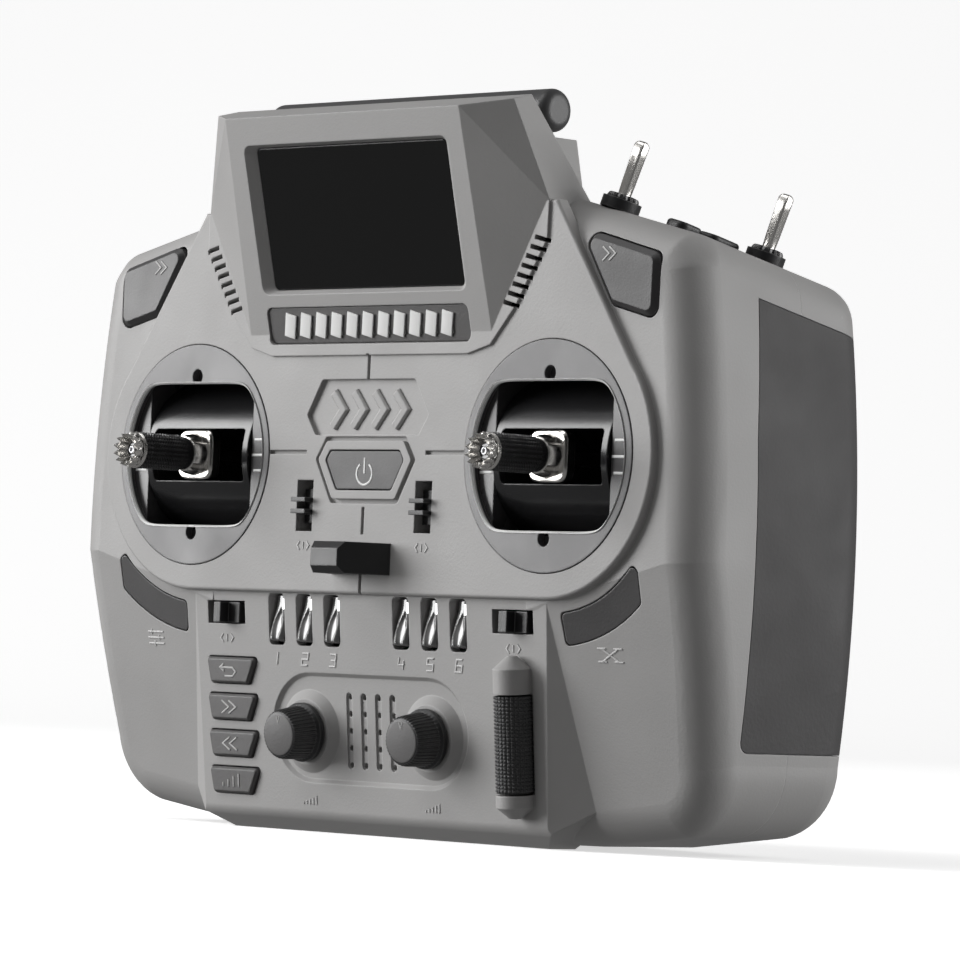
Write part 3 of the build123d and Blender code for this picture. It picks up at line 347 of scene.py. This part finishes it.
# %% Metals, inks and lamp
CHROME = finish_of("bright_metal", (0.66, 0.645, 0.62), 0.2, bump=0.03, edge_highlight=0.1, metallic=1.0,
                   patch_rough=0.03)
# white ink for print; on the cover chamfers the same white is a painted reflection
WHITE_INK_AND_PAINTED_GLINT = finish_of("white_ink_and_painted_glint", (0.86, 0.86, 0.85), 0.4, bump=0.05, patch=0.02, edge_highlight=0.0)
STEEL = finish_of("screw_steel", (0.42, 0.42, 0.43), 0.3, bump=0.1, metallic=1.0)
BRASS = finish_of("pot_can", (0.5, 0.48, 0.42), 0.35, bump=0.1, metallic=1.0)
LAMP = finish_of("lamp_white", (0.9, 0.9, 0.9), 0.3, bump=0.0, patch=0.02, edge_highlight=0.0, glow=1.6)
PRINT = finish_of("pale_print", (0.66, 0.655, 0.65), 0.45, bump=0.1, patch=0.02, edge_highlight=0.1)
PALE = finish_of("pale_mark", (0.55, 0.545, 0.54), 0.45, bump=0.1, patch=0.02, edge_highlight=0.1)
print("finishes", len(bpy.data.materials))

# %% Each node gets its finish
FINISHES = {
    "front_shell": CASING, "rear_shell": CASING, "battery_door": CASING, "module_cover": CASING,
    "antenna_hinge": CASING, "grip_pad_": RUBBER, "return_key": KEY, "page_": KEY, "telemetry_key": KEY,
    "system_key": DARK_KEY, "model_key": DARK_KEY, "corner_button_": DARK_KEY, "power_button": DARK_KEY,
    "function_button_": SMOKE, "trim_": BLACK, "gimbal_plate_": COVER, "gimbal_drum_": GLOSS,
    "gimbal_frame_": FRAME_DARK, "stick_nut_": CHROME, "stick_tip_": CHROME, "stick_": ANODISED,
    "display_lens": LENS, "display_module": BLACK, "name_plate": KEY, "strap_hook": BLACK,
    "knob_": BLACK, "scroll_roller": BLACK, "toggle_bushings": BLACK, "toggle_": CHROME,
    "shoulder_button_": BLACK, "antenna_bar": SLATE, "main_board": BOARD, "battery_pack": SLEEVE,
    "case_screws": STEEL, "speaker": BLACK, "potentiometers": BRASS,
}
for name, node in nodes.items():
    chosen = next(FINISHES[start] for start in FINISHES if name.startswith(start))
    node.data.materials.clear()
    node.data.materials.append(chosen)
print("finished", len(nodes), "nodes")

# %% [markdown]
# ## Shapes made from rows of loops
# Knurls, chamfers, printed strokes and levers all come from one idea: a row of closed
# loops, joined to each other by quads. A turned part has circles for loops, a printed
# line has its own small section carried along a path.

# %% Loops to meshes
def on(plane, across, up, out):
    """Points in metres from millimetre coordinates on a plane (origin, across, up, out)."""
    across, up, out = np.broadcast_arrays(across, up, out)
    origin, side, top, normal = plane
    local = across[..., None] * side + up[..., None] * top + out[..., None] * normal
    return origin + local * MM


def skin(loops, closed=False):
    """A skin over a row of loops of equal length. Loop i is joined to loop i + 1 by quads; an
    open row has its two end loops filled. The enclosed volume is a sum over the quads of
    the triple product of their corners, and if it is negative every face is turned over."""
    rows, cols = loops.shape[:2]
    points = loops.reshape(-1, 3)
    row = np.arange(rows if closed else rows - 1)[:, None]
    col = np.arange(cols)[None, :]
    after, beside = (row + 1) % rows, (col + 1) % cols
    quads = np.stack([row * cols + col, row * cols + beside, after * cols + beside,
                      after * cols + col], axis=-1).reshape(-1, 4)
    a, b, c, d = (points[quads[:, k]] - points.mean(0) for k in range(4))
    volume = (a * np.cross(b, c)).sum() + (a * np.cross(c, d)).sum()
    ends = np.stack([np.arange(cols)[::-1], np.arange(cols) + (rows - 1) * cols])
    if closed:
        ends = ends[:0]
    if volume <= 0:
        quads, ends = quads[:, ::-1], ends[:, ::-1]
    return points, quads, ends


def piece(name, skins, finish, body, sharp=35):
    """One object from several skins, shaded smooth except over sharp edges, on its body."""
    points, faces, start = [], [], 0
    for spots, quads, ends in skins:
        points.append(spots)
        faces += (quads + start).tolist() + (ends + start).tolist()
        start += len(spots)
    mesh = bpy.data.meshes.new(name)
    mesh.from_pydata(np.concatenate(points).tolist(), [], faces)
    mesh.shade_smooth()
    mesh.set_sharp_from_angle(angle=radians(sharp))
    mesh.materials.append(finish)
    made = bpy.data.objects.new(name, mesh)
    bpy.context.collection.objects.link(made)
    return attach(made, body)


def turned(plane, centre, out, radius, turns=64):
    """A turned form: circles of the given radius at the given height out of the plane. Both
    may be a row of values, or a table with one column per direction."""
    angle = np.linspace(0, 2 * pi, turns, endpoint=False)
    out, radius = (np.asarray(v, float) for v in (out, radius))
    out = out[:, None] if out.ndim == 1 else out
    radius = radius[:, None] if radius.ndim == 1 else radius
    return skin(on(plane, centre[0] + radius * np.cos(angle), centre[1] + radius * np.sin(angle),
                   out + 0 * angle))


def stroke(plane, path, width, height, closed=False, base=0.0, sink=0.15, lean=0.0):
    """A raised line along a path. Its section is a low box with chamfered shoulders, set
    square to the path. At a corner the section is widened by one over the cosine of half
    the turn, so its sides stay parallel. Lean tips its top towards one side."""
    path = np.asarray(path, float)
    ahead = np.roll(path, -1, axis=0) - path
    if not closed:
        ahead[-1] = ahead[-2]
    ahead /= np.linalg.norm(ahead, axis=1, keepdims=True)
    behind = np.roll(ahead, 1, axis=0)
    if not closed:
        behind[0] = ahead[0]
    mean = ahead + behind
    mean /= np.linalg.norm(mean, axis=1, keepdims=True)
    widen = 1 / np.maximum((mean * ahead).sum(1, keepdims=True), 0.5)
    square = np.stack([-mean[:, 1], mean[:, 0]], axis=1) * widen * width
    across = np.array([-0.5, 0.5, 0.5, 0.3, -0.3, -0.5])
    rise = base + np.array([-sink, -sink, 0.55 * height, height, height, 0.55 * height])
    rise = rise + lean * across * (np.arange(6) > 1)
    spot = path[:, None, :] + square[:, None, :] * across[None, :, None]
    return skin(on(plane, spot[..., 0], spot[..., 1], rise[None, :]), closed)


def mark(plane, centre, size, lines, width=0.42, height=0.16, slant=0.0, **more):
    """Printed strokes from polylines drawn in a unit square, slanted and scaled to size."""
    fitted = []
    for line in lines:
        line = np.array(line, float) - 0.5
        line = np.stack([(line[:, 0] + slant * line[:, 1]) * size[0], line[:, 1] * size[1]], axis=1)
        fitted.append(stroke(plane, line + centre, width, height, **more))
    return fitted


# %% Planes to draw on
FACE = (np.array([0, FACE_Y, AXIS_Z]), SIDE_AXIS, np.array([0, 0, 1.0]), np.array([0, -1.0, 0]))
PANEL = (PANEL_TOP + 31 * MM * PANEL_UP, SIDE_AXIS, PANEL_UP, PANEL_OUT)
SCREEN = (SCREEN_TOP, SIDE_AXIS, SCREEN_UP, SCREEN_OUT)
SIDES = {"left": -1, "right": 1}
print("planes at", [round(v, 4) for plane in (FACE, PANEL, SCREEN) for v in plane[0][1:]])

# %% [markdown]
# ## Sticks
# Each stick has a knurled barrel and a crown of small teeth, and it stands on a bright
# square nut. Round the opening of the cover runs a polished chamfer, coloured white as a
# painted reflection, and the cheeks carry three short lines each.

# %% Barrel, crown and nut
def triangle(phase):
    """A triangle wave, 0 at whole numbers and 1 half-way between them."""
    return 1 - np.abs(2 * (phase - np.floor(phase)) - 1)


def barrel(side):
    """The barrel's radius is 4.1 mm less two sets of cuts: rings every 0.76 mm along it and
    24 grooves along its length, each a triangle wave with its tips cut flat."""
    out = np.linspace(5.2, 17.4, 132)
    angle = np.linspace(0, 2 * pi, 192, endpoint=False)
    rings = np.clip(triangle(out / 0.76) * 1.7, 0, 1)[:, None]
    grooves = np.clip(triangle(24 * angle / (2 * pi)) * 1.9, 0, 1)[None, :]
    radius = 3.5 + 0.6 * rings * grooves
    radius[[0, -1]] = 3.55
    return turned(FACE, (side * STICK_X / MM, 0), out, radius, turns=192)


def crown(side):
    """Out along the wall, over the rim and down into the hollow. The rim rises and falls by a
    triangle wave of 12 teeth; a second row of teeth, half a tooth on, stands on the wall."""
    angle = np.linspace(0, 2 * pi, 144, endpoint=False)
    tooth = triangle(12 * angle / (2 * pi))[None, :]
    shifted = triangle(12 * angle / (2 * pi) + 0.5)[None, :]
    out = np.array([17.2, 17.8, 18.0, 18.4, 19.0, 19.3, 19.9, 20.1, 19.8, 19.2, 18.6, 18.5])[:, None]
    lift = np.array([0, 0, 0, 0, 0.7, 0.7, 0, 1.5, 1.5, 0, 0, 0])[:, None]
    on_wall = np.array([0, 0, 0, 0, 1, 1, 0, 0, 0, 0, 0, 0])[:, None]
    radius = np.array([3.5, 3.9, 4.1, 3.75, 3.8, 3.45, 3.5, 3.3, 2.55, 2.1, 1.7, 0.05])[:, None]
    out = out + lift * (tooth * (1 - on_wall) + shifted * on_wall)
    radius = radius + 0.32 * shifted * on_wall + 0.25 * tooth * (lift > 1)
    return turned(FACE, (side * STICK_X / MM, 0), out, radius, turns=144)


def nut(side):
    """A square plate with rounded corners, whose outline is a superellipse of power 5, then a
    boss that narrows towards the barrel. Four scallops are cut where the screws sit."""
    angle = np.linspace(0, 2 * pi, 128, endpoint=False)
    square = (np.abs(np.cos(angle)) ** 5 + np.abs(np.sin(angle)) ** 5) ** (-1 / 5)
    scallop = 0.9 * np.clip(np.cos(4 * (angle - pi / 4)) * 3 - 2, 0, 1)
    flange = np.outer([5.0, 5.65, 5.65, 5.2], square)
    boss = np.outer([4.75, 4.6, 4.45, 3.95, 3.6], np.ones(128))
    boss[:3] -= scallop
    out = np.array([-3.0, -2.6, -0.3, 0.2, 0.25, 1.4, 2.2, 3.4, 3.6])
    return turned(FACE, (side * STICK_X / MM, 0), out, np.concatenate([flange, boss]), turns=128)


print("stick forms ready")

# %% The two sticks
for name, side in SIDES.items():
    middle = (side * STICK_X / MM, 0)
    body = f"stick_{name}"
    shank = turned(FACE, middle, [-18, -17.6, 3.2, 3.4, 5.3], [2.0, 2.2, 2.2, 3.7, 3.75])
    knurl = piece(f"barrel_{name}", [barrel(side), shank], ANODISED, body)
    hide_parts(f"stick_{name}")
    teeth = piece(f"crown_{name}", [crown(side)], CHROME, body, sharp=25)
    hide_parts(f"stick_tip_{name}")
    button = turned(FACE, middle, [18.6, 19.0, 19.2, 19.2, 18.9, 18.8],
                    [0.95, 0.95, 0.8, 0.5, 0.4, 0.05], turns=36)
    hollow = turned(FACE, middle, [18.4, 18.72, 18.75], [1.9, 1.9, 0.9], turns=48)
    piece(f"crown_hollow_{name}", [hollow], ANODISED, body)
    piece(f"crown_screw_{name}", [button], STEEL, body, sharp=30)
    square = piece(f"nut_{name}", [nut(side)], CHROME, body, sharp=30)
    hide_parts(f"stick_nut_{name}")
    print("stick", name, len(knurl.data.polygons) + len(teeth.data.polygons), "faces")


# %% Chamfer and lines of the covers
def opening(radius, flat, power=22):
    """The opening's outline in polar form: a circle cut by two flats, the corner between them
    rounded by adding the two distances as powers instead of taking the smaller one."""
    angle = np.linspace(0, 2 * pi, 180, endpoint=False)
    to_flat = flat / np.maximum(np.abs(np.sin(angle)), 1e-6)
    reach = (radius ** -power + to_flat ** -power) ** (-1 / power)
    return np.stack([reach * np.cos(angle), reach * np.sin(angle)], axis=1)


for name, side in SIDES.items():
    centre = np.array([side * STICK_X / MM, 0])
    # the chamfer's white colour is a painted reflection of its polished edge
    rim = stroke(FACE, opening(22.85, 16.3) + centre, 0.5, 0.02, closed=True, base=0.2, sink=0.7,
                 lean=-0.5)
    piece(f"cover_chamfer_{name}", [rim], WHITE_INK_AND_PAINTED_GLINT, "case")
    lines = [stroke(FACE, [centre + (e * start, h), centre + (e * 21.9, h)], 0.6, 0.06, base=-1.6)
             for e in (-1, 1) for start, h in ((18.2, 3.5), (17.5, 0), (18.2, -3.5))]
    piece(f"cheek_lines_{name}", lines, WHITE_INK_AND_PAINTED_GLINT, "case")
print("covers lined")

# %% [markdown]
# ## Controls of the lower panel
# The two knobs are fluted with a plain cap, the roller is cross-cut, and each function
# button is a smoked lever that leans out towards its foot, with a small lamp beside it.

# %% Places on the lower panel
KNOB_X, KNOB_Z = 19.6, -61.7
ROLLER_X = 47
FUNCTION_X = (-29, -20, -11, 11, 20, 29)
MENU_KEY_TOPS = (-45.8, -54.1, -62.4, -70.7)
print("function levers at", FUNCTION_X)


# %% Knobs and roller
def knob_side(centre):
    """A plain foot, then a cone with 40 flutes. A flute is a rounded cut, the square of a
    sine, and it runs out at the chamfer under the cap."""
    angle = np.linspace(0, 2 * pi, 240, endpoint=False)
    flute = np.sin(20 * angle) ** 2
    out = np.array([1.3, 1.4, 2.5, 2.8, 3.1, 5.8, 8.3, 8.9, 9.0])
    radius = np.array([6.4, 6.6, 6.6, 6.3, 6.0, 5.75, 5.5, 5.1, 4.6])[:, None]
    depth = np.array([0, 0, 0, 0, 0.3, 0.3, 0.3, 0.22, 0])[:, None]
    return turned(PANEL, centre, out, radius - depth * flute, turns=240)


def roller_mesh(low, high):
    """Rings every 0.8 mm and 26 grooves along the roller leave rows of small blocks. The
    radius is 4.2 mm less the deeper of the two cuts, and both ends are chamfered."""
    up = np.linspace(low, high, 212)
    angle = np.linspace(0, 2 * pi, 208, endpoint=False)
    rings = np.clip(triangle(up / 0.8) * 2.4, 0, 1)[:, None]
    grooves = np.clip(triangle(26 * angle / (2 * pi)) * 2.2, 0, 1)[None, :]
    radius = 3.8 + 0.4 * np.minimum(rings, grooves)
    radius[[0, -1]] = 3.3
    radius[[1, -2]] = 3.75
    return skin(on(PANEL, ROLLER_X + radius * np.cos(angle), up[:, None], 1.9 + radius * np.sin(angle)))


for name, side in SIDES.items():
    centre = (side * KNOB_X, KNOB_Z)
    sides = piece(f"fluted_knob_{name}", [knob_side(centre)], BLACK, f"knob_{name}")
    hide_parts(f"knob_{name}")
    cap = turned(PANEL, centre, [8.8, 9.08, 9.12, 9.16], [4.7, 4.62, 4.3, 0.05], turns=96)
    piece(f"knob_cap_{name}", [cap], KEY, f"knob_{name}")
    pointer = stroke(PANEL, [(centre[0] - 0.5, centre[1] + 4.1), (centre[0], centre[1] + 2.6),
                             (centre[0] + 0.5, centre[1] + 4.1)], 0.3, 0.08, base=9.12)
    piece(f"knob_pointer_{name}", [pointer], PALE, f"knob_{name}")
roller = piece("knurled_roller", [roller_mesh(-72.3, -51.2)], BLACK, "scroll_roller")
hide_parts("scroll_roller")
print("knobs and roller", len(roller.data.polygons))


# %% Function levers
def lever(x):
    """A lever front on a grid: it lies back at the top, leans out towards its foot by a smooth
    step, and is rounded across. Its lower part is pressed in, in the shape of a leaf whose
    half width follows half a sine."""
    across = np.linspace(-1, 1, 25)[None, :]
    down = np.linspace(0, 1, 49)[:, None]
    smooth = down * down * (3 - 2 * down)
    front = -1.7 + 2.9 * smooth - 2.4 * np.clip((down - 0.92) / 0.08, 0, 1) ** 2
    crowned = front - 0.9 * np.abs(across) ** 3
    leaf = 0.62 * np.sin(pi * np.clip((down - 0.25) / 0.85, 0, 1)) + 1e-3
    inside = np.clip(1 - ((across - 0.12) / leaf) ** 2, 0, 1)
    face = crowned - 0.55 * inside ** 0.7
    wide = 2.15 * across + 0 * down
    tall = -31.6 - 10.4 * down + 0 * across
    floor = np.full((49, 1), -4.0)
    out = np.concatenate([floor, face, floor], axis=1)
    wide = np.concatenate([wide[:, :1], wide, wide[:, -1:]], axis=1)
    tall = np.concatenate([tall[:, :1], tall, tall[:, -1:]], axis=1)
    return skin(on(PANEL, x + wide, tall, out))


for number, x in enumerate(FUNCTION_X, start=1):
    front = piece(f"function_lever_{number}", [lever(x)], SMOKE, f"function_button_{number}")
    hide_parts(f"function_button_{number}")
    lamp = stroke(PANEL, [(x + 1.75, -32.2), (x + 1.75, -34.6)], 0.9, 0.35, base=-0.9)
    piece(f"function_lamp_{number}", [lamp], LAMP, f"function_button_{number}")
print("function levers made")

# %% [markdown]
# ## Marks
# The keys and the face carry small plain symbols and the digits 1 to 6.

# %% Symbols of the menu keys
DOUBLE = [[(0.05, 1), (0.5, 0.5), (0.05, 0)], [(0.5, 1), (0.95, 0.5), (0.5, 0)]]
SYMBOLS = {
    "return_key": [[(0.25, 1), (0, 0.72), (0.25, 0.44)],
                   [(0, 0.72), (0.8, 0.72), (1, 0.4), (0.8, 0.05), (0.3, 0.05)]],
    "page_next_key": DOUBLE,
    "page_back_key": [[(0.5, 1), (0.05, 0.5), (0.5, 0)], [(0.95, 1), (0.5, 0.5), (0.95, 0)]],
    "telemetry_key": [[(0, 0), (0, 0.3)], [(0.33, 0), (0.33, 0.55)], [(0.67, 0), (0.67, 0.8)],
                      [(1, 0), (1, 1)]],
}
for (name, lines), top in zip(SYMBOLS.items(), MENU_KEY_TOPS):
    printed = mark(PANEL, (-44.6, top - 2.9), (5.2, 2.9), lines, base=1.1)
    piece(f"symbol_{name}", printed, PALE, name)
print("symbols", list(SYMBOLS))

# %% Digits under the function buttons
DIGITS = {
    1: [[(0.5, 1), (0.5, 0)]],
    2: [[(0, 1), (1, 1), (1, 0.5), (0, 0.5), (0, 0), (1, 0)]],
    3: [[(0, 1), (1, 1), (1, 0), (0, 0)], [(0.2, 0.5), (1, 0.5)]],
    4: [[(0, 1), (0, 0.4), (1, 0.4)], [(0.8, 0.75), (0.8, 0)]],
    5: [[(1, 1), (0, 1), (0, 0.5), (1, 0.5), (1, 0), (0, 0)]],
    6: [[(1, 1), (0, 1), (0, 0), (1, 0), (1, 0.5), (0, 0.5)]],
}
digits = []
for lines, x in zip(DIGITS.values(), FUNCTION_X):
    digits += mark(PANEL, (x, -45.6), (1.9, 2.7), lines, slant=0.25)
piece("digits", digits, PRINT, "case")
print("digits", list(DIGITS))

# %% Marks at the knobs and trims
RAMP = [[(0, 0), (0, 0.25)], [(0.25, 0), (0.25, 0.43)], [(0.5, 0), (0.5, 0.62)], [(0.75, 0), (0.75, 0.81)],
        [(1, 0), (1, 1)]]
ARROWS = [[(0.2, 0.8), (0, 0.5), (0.2, 0.2)], [(0.5, 0.75), (0.5, 0.25)],
          [(0.8, 0.8), (1, 0.5), (0.8, 0.2)]]
marks = []
for side in SIDES.values():
    marks += mark(PANEL, (side * KNOB_X, -77.0), (4.2, 2.0), RAMP, width=0.36)
    marks += mark(FACE, (side * 18.9, -20.2), (3.8, 3.2), ARROWS, width=0.36)
    marks += mark(PANEL, (side * 45.7, -41.4), (4.2, 3.2), ARROWS, width=0.36)
piece("scale_marks", marks, PRINT, "case")
print("scale marks", len(marks), "strokes")


# %% Power symbol, plate bars and badge
turn = np.linspace(radians(125), radians(415), 48)
ring = np.stack([2.45 * np.cos(turn), -4.1 + 2.45 * np.sin(turn)], axis=1)
symbol = [stroke(FACE, path, 0.5, 0.1, base=0.1) for path in (ring, [(0, -0.6), (0, -4.1)])]
piece("power_symbol", symbol, WHITE_INK_AND_PAINTED_GLINT, "power_button")

bars = [stroke(SCREEN, [(5.0 * step - 0.7, -49.8), (5.0 * step + 0.7, -44.6)], 3.3, 0.16, base=-0.1)
        for step in range(-5, 6)]
piece("plate_bars", bars, WHITE_INK_AND_PAINTED_GLINT, "case")

chevrons = [stroke(FACE, [(x - 1.6, 13.9), (x + 1.6, 10.1), (x - 1.6, 6.3)], 2.4, 0.75, base=-1.0)
            for x in (-9.9, -3.3, 3.3, 9.9)]
piece("badge_chevrons", chevrons, CASING, "case")
print("plate bars", len(bars), "chevrons", len(chevrons))

# %% Marks beside the curved keys and on the corner buttons
SLIDERS = [[(0, 0.9), (1, 0.9)], [(0, 0.5), (1, 0.5)], [(0, 0.1), (1, 0.1)],
           [(0.25, 0.72), (0.25, 1.08)], [(0.7, 0.32), (0.7, 0.68)], [(0.4, -0.08), (0.4, 0.28)]]
ROTORS = [[(0.1, 0.1), (0.9, 0.9)], [(0.1, 0.9), (0.9, 0.1)], [(-0.12, 0.92), (0.3, 0.92)],
          [(0.7, 0.92), (1.12, 0.92)], [(-0.12, 0.08), (0.3, 0.08)], [(0.7, 0.08), (1.12, 0.08)]]
for name, lines in {"left": SLIDERS, "right": ROTORS}.items():
    side = SIDES[name]
    along = np.array([38.0, 2.2 * side, 0]) / np.hypot(38, 2.2)
    rising = np.array([0, -11.7, 53.0]) / np.hypot(11.7, 53)
    flank = (FACE[0] + np.array([57 * side, 1.8, -31]) * MM, along, rising, np.cross(along, rising))
    piece(f"menu_mark_{name}", mark(flank, (side * 15.5, -11.2), (5.6, 3.4), lines), PRINT, "case")
    piece(f"corner_mark_{name}", mark(FACE, (side * 71.5, 43.0), (4.2, 3.0), DOUBLE, base=-0.7), PALE,
          f"corner_button_{name}")
print("marks made")


# %% [markdown]
# ## Shoulder levers
# A lever is a round shank that widens into a flat-sided bat with a chamfered end. It stands
# square to the shoulder, which falls away to the side and to the back.

# %% Toggle levers
SHOULDER_OUT = np.cross([32.5, 0, -7.8], [37.0, 44.0, -17.7])
SHOULDER_OUT /= np.linalg.norm(SHOULDER_OUT)


def shoulder(x, depth, side):
    """The plane that is square to a switch, its origin where the switch leaves the shoulder."""
    fall = (SHOULDER_OUT[0] * (x - 53) + SHOULDER_OUT[1] * (depth - 4)) / SHOULDER_OUT[2]
    out = SHOULDER_OUT * (side, 1, 1)
    along = np.cross([0, 1, 0], out)
    along /= np.linalg.norm(along)
    origin = FACE[0] + np.array([side * x, depth, 57.4 - fall]) * MM
    return origin, along, np.cross(out, along), out


def bat(plane):
    """Loops along the lever. Each is a superellipse whose power rises from 2, a circle, to 6,
    nearly a box, while its two half widths part."""
    out = np.array([0.2, 1.7, 2.4, 2.7, 6.0, 12.0, 14.8, 15.4, 15.7, 15.75])
    wide = np.array([1.4, 1.4, 1.3, 1.2, 1.3, 1.4, 1.45, 1.2, 0.8, 0.05])[:, None]
    thin = np.array([1.4, 1.4, 1.3, 1.15, 1.15, 1.15, 1.15, 0.9, 0.5, 0.05])[:, None]
    power = np.array([2, 2, 2, 4, 6, 7, 7, 6, 4, 2])[:, None]
    angle = np.linspace(0, 2 * pi, 40, endpoint=False)
    reach = (np.abs(np.cos(angle)) ** power + np.abs(np.sin(angle)) ** power) ** (-1 / power)
    return skin(on(plane, wide * reach * np.cos(angle), thin * reach * np.sin(angle), out[:, None]))


def collar(plane):
    """Rings of falling radius, each waved by a cosine of 18 ripples so that it can be gripped."""
    angle = np.linspace(0, 2 * pi, 72, endpoint=False)
    radius = np.array([3.5, 3.4, 3.1, 2.6, 2.2, 2.0])[:, None] + 0.12 * np.cos(18 * angle)
    return turned(plane, (0, 0), [2.3, 2.9, 3.4, 3.5, 3.2, 2.2], radius, turns=72)


TOGGLES = {"toggle_inner": (61.2, 13.7), "toggle_outer": (80.5, 39)}
for name, side in SIDES.items():
    for place, (x, depth) in TOGGLES.items():
        plane = shoulder(x, depth, side)
        lever_piece = piece(f"bat_{place}_{name}", [bat(plane)], CHROME, f"{place}_{name}",
                            30)
        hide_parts(f"{place}_{name}")
        piece(f"collar_{place}_{name}", [collar(plane)], ANODISED, "case")
print("toggle levers made")
